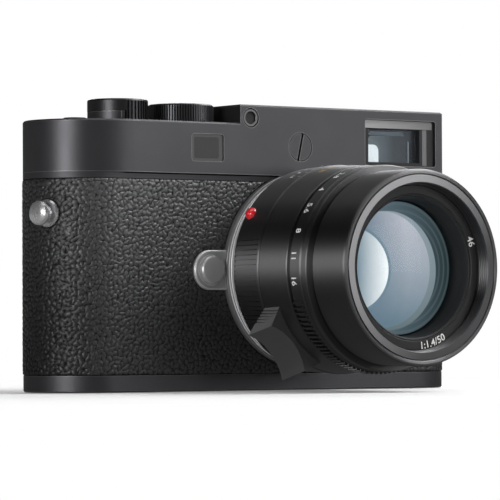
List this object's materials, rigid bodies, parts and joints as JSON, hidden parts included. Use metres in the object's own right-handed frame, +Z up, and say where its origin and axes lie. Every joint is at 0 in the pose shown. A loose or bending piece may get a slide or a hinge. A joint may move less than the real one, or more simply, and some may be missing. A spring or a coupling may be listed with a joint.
{
  "type": "rangefinder camera",
  "caption": "Digital rangefinder camera with metal covers, leather body covering, top dials and a manual-focus lens with focus tab, aperture ring and sliding hood.",
  "frame": {"origin": "centre of the body's underside, midway between the two rounded ends and midway between the body's front and back faces", "axes": "+X to the right of a viewer facing the lens, +Y to the back of the camera, +Z up; the lens points along -Y"},
  "size_m": [0.1468, 0.09, 0.0811],
  "materials": {
    "black_metal": "satin black anodised",
    "leather": "pebble grain",
    "chrome_steel": "polished",
    "steel": "satin",
    "lens_black": "satin black anodised, turned",
    "silver_ring": "satin",
    "optical_glass": "coated",
    "window_glass": "coated",
    "screen_glass": "gloss",
    "red_bead": "gloss",
    "brass": "machined",
    "black_plastic": "matte",
    "board": "lacquered",
    "frame_grey": "matte",
    "cast_metal": "die cast, black"
  },
  "bodies": {
    "camera_body": {"body_casting": "cast_metal", "leather_covering": "leather", "top_cover": "black_metal", "base_cover": "black_metal", "mount_ring": "steel", "small_screws": "steel", "release_escutcheon": "black_metal", "release_spring": "steel", "finder_frame": "frame_grey", "finder_glass": "window_glass", "patch_glass": "window_glass", "rangefinder_optics": "black_plastic", "cover_disc": "black_metal", "sensor_ring": "steel", "sensor_window": "screen_glass", "accessory_shoe": "black_metal", "eyepiece_ring": "black_metal", "eyepiece_lens": "optical_glass", "screen_glass": "screen_glass", "screen_module": "black_plastic", "image_sensor": "screen_glass", "shutter_unit": "black_plastic", "main_board": "board", "tripod_bush": "steel", "usb_port": "steel", "base_screws": "steel", "strap_lugs": "chrome_steel", "lens_bayonet": "chrome_steel", "lens_barrel": "lens_black", "index_bead": "red_bead"},
    "release": {"release_button": "steel", "locking_pin": "steel"},
    "selector": {"frame_lever": "black_metal"},
    "power_switch": {"power_switch_collar": "black_metal"},
    "shutter_release": {"shutter_button": "black_metal"},
    "speed_dial": {"speed_dial": "black_metal"},
    "function_key": {"function_button": "black_metal"},
    "iso_lift": {"iso_lift_core": "black_metal"},
    "iso_dial": {"iso_dial": "black_metal"},
    "wheel_carrier": {"thumb_wheel_carrier": "brass"},
    "wheel": {"thumb_wheel": "black_metal"},
    "pad_gimbal": {"pad_gimbal": "brass"},
    "pad": {"direction_pad": "black_metal"},
    "centre_key": {"centre_button": "black_metal"},
    "play_key": {"play_button": "black_metal"},
    "menu_key": {"menu_button": "black_metal"},
    "rear_key": {"rear_function_button": "black_metal"},
    "battery": {"battery": "black_plastic"},
    "battery_latch": {"battery_latch": "steel"},
    "focus": {"focus_ring": "lens_black", "focus_tab": "lens_black"},
    "optics": {"focus_carrier": "lens_black", "front_barrel": "silver_ring", "name_ring": "lens_black", "front_glass": "optical_glass", "rear_glass": "optical_glass", "iris_unit": "lens_black"},
    "aperture": {"aperture_ring": "lens_black"},
    "hood": {"lens_hood": "lens_black"},
    "follower": {"follower_arm": "brass"}
  },
  "joints": [
    {"name": "release_press", "type": "slide", "parent": "camera_body", "child": "release", "axis": [0, 1, 0], "range_m": [0, 0.0015], "stiffness_N_per_m": 400, "deforming": ["release_spring"]},
    {"name": "frame_select", "type": "hinge", "parent": "camera_body", "child": "selector", "pos_m": [0.04337, -0.017, 0.04467], "axis": [0, -1, 0], "range_deg": [-10.5, 18]},
    {"name": "power_turn", "type": "hinge", "parent": "camera_body", "child": "power_switch", "pos_m": [-0.044, -0.004, 0.079], "axis": [0, 0, 1], "range_deg": [0, 40]},
    {"name": "shutter_press", "type": "slide", "parent": "camera_body", "child": "shutter_release", "axis": [0, 0, -1], "range_m": [0, 0.0015], "stiffness_N_per_m": 600},
    {"name": "speed_turn", "type": "hinge", "parent": "camera_body", "child": "speed_dial", "pos_m": [-0.02285, -0.004, 0.077], "axis": [0, 0, 1], "continuous": true},
    {"name": "function_press", "type": "slide", "parent": "camera_body", "child": "function_key", "axis": [0, 0, -1], "range_m": [0, 0.0005], "stiffness_N_per_m": 900},
    {"name": "iso_pull", "type": "slide", "parent": "camera_body", "child": "iso_lift", "axis": [0, 0, 1], "range_m": [0, 0.002]},
    {"name": "iso_turn", "type": "hinge", "parent": "iso_lift", "child": "iso_dial", "pos_m": [0.0495, 0.003, 0.078], "axis": [0, 0, 1], "continuous": true},
    {"name": "wheel_press", "type": "slide", "parent": "camera_body", "child": "wheel_carrier", "axis": [0, -1, 0], "range_m": [0, 0.0005], "stiffness_N_per_m": 900},
    {"name": "wheel_turn", "type": "hinge", "parent": "wheel_carrier", "child": "wheel", "pos_m": [-0.036, 0.0104, 0.068], "axis": [0, 0, 1], "continuous": true},
    {"name": "pad_side_rock", "type": "hinge", "parent": "camera_body", "child": "pad_gimbal", "pos_m": [-0.034, 0.015, 0.024], "axis": [0, 0, 1], "range_deg": [-3, 3], "stiffness_Nm_per_rad": 0.05},
    {"name": "pad_up_down_rock", "type": "hinge", "parent": "pad_gimbal", "child": "pad", "pos_m": [-0.034, 0.015, 0.024], "axis": [1, 0, 0], "range_deg": [-3, 3], "stiffness_Nm_per_rad": 0.05},
    {"name": "centre_press", "type": "slide", "parent": "camera_body", "child": "centre_key", "axis": [0, -1, 0], "range_m": [0, 0.0004], "stiffness_N_per_m": 900},
    {"name": "play_press", "type": "slide", "parent": "camera_body", "child": "play_key", "axis": [0, -1, 0], "range_m": [0, 0.0004], "stiffness_N_per_m": 900},
    {"name": "menu_press", "type": "slide", "parent": "camera_body", "child": "menu_key", "axis": [0, -1, 0], "range_m": [0, 0.0004], "stiffness_N_per_m": 900},
    {"name": "rear_function_press", "type": "slide", "parent": "camera_body", "child": "rear_key", "axis": [0, -1, 0], "range_m": [0, 0.0004], "stiffness_N_per_m": 900},
    {"name": "battery_eject", "type": "slide", "parent": "camera_body", "child": "battery", "axis": [0, 0, -1], "range_m": [0, 0.008]},
    {"name": "battery_latch_turn", "type": "hinge", "parent": "camera_body", "child": "battery_latch", "pos_m": [-0.01, 0, 0.0006], "axis": [0, 0, -1], "range_deg": [0, 40]},
    {"name": "focus_turn", "type": "hinge", "parent": "camera_body", "child": "focus", "pos_m": [0.01037, -0.04, 0.03367], "axis": [0, -1, 0], "range_deg": [0, 90]},
    {"name": "focus_travel", "type": "slide", "parent": "camera_body", "child": "optics", "axis": [0, -1, 0], "range_m": [0, 0.0043]},
    {"name": "follower_swing", "type": "hinge", "parent": "camera_body", "child": "follower", "pos_m": [0.02237, -0.006, 0.05287], "axis": [0, 0, 1], "range_deg": [0, 20.6]},
    {"name": "aperture_turn", "type": "hinge", "parent": "optics", "child": "aperture", "pos_m": [0.01037, -0.051, 0.03367], "axis": [0, 1, 0], "range_deg": [0, 99.4]},
    {"name": "hood_slide", "type": "slide", "parent": "optics", "child": "hood", "axis": [0, -1, 0], "range_m": [0, 0.009]}
  ],
  "couplings": [
    {"joint": "focus_turn", "follows": "focus_travel", "rad_per_m": 365.2},
    {"joint": "follower_swing", "follows": "focus_travel", "rad_per_m": 83.2}
  ]
}
